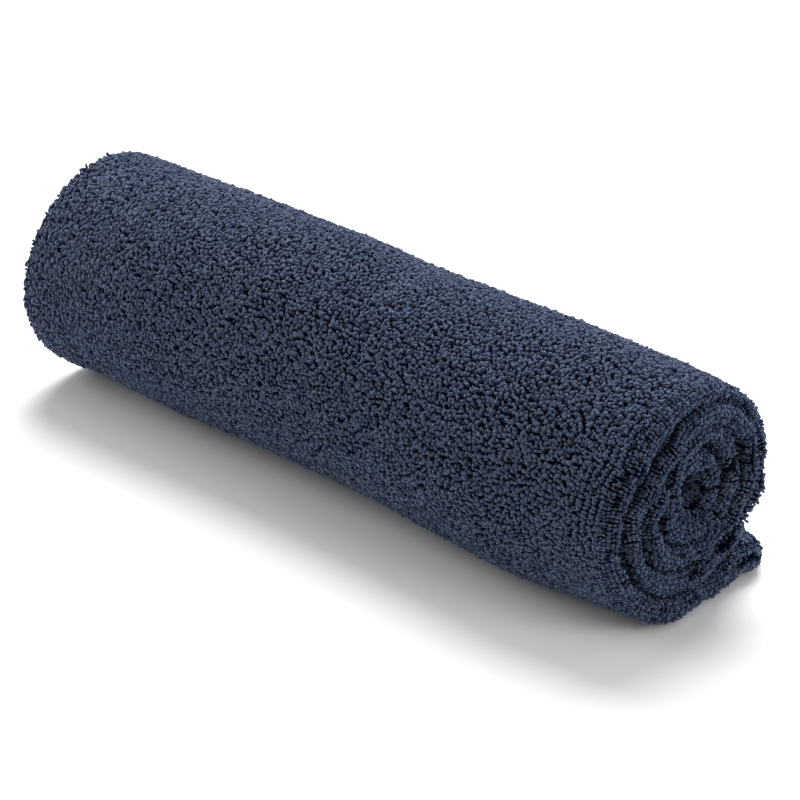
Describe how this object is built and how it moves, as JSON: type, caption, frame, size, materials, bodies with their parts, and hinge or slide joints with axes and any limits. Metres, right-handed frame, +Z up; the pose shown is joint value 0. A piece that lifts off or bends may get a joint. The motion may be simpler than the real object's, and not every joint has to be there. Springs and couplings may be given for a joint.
{
  "type": "rolled microfiber towel",
  "caption": "Looped microfiber towel folded in half along its length and rolled up, resting on its side with its loose end lying flat beside it.",
  "frame": {"origin": "on the supporting surface, under the middle of the roll and its loose end together", "axes": "+X along the roll towards the folded end of the cloth, +Y towards the loose end, +Z up"},
  "size_m": [0.2, 0.0641, 0.0555],
  "materials": {
    "looped_microfiber": "dark slate-blue looped pile, matt with a soft sheen"
  },
  "bodies": {
    "root": {"rolled_towel": "looped_microfiber"}
  },
  "joints": []
}
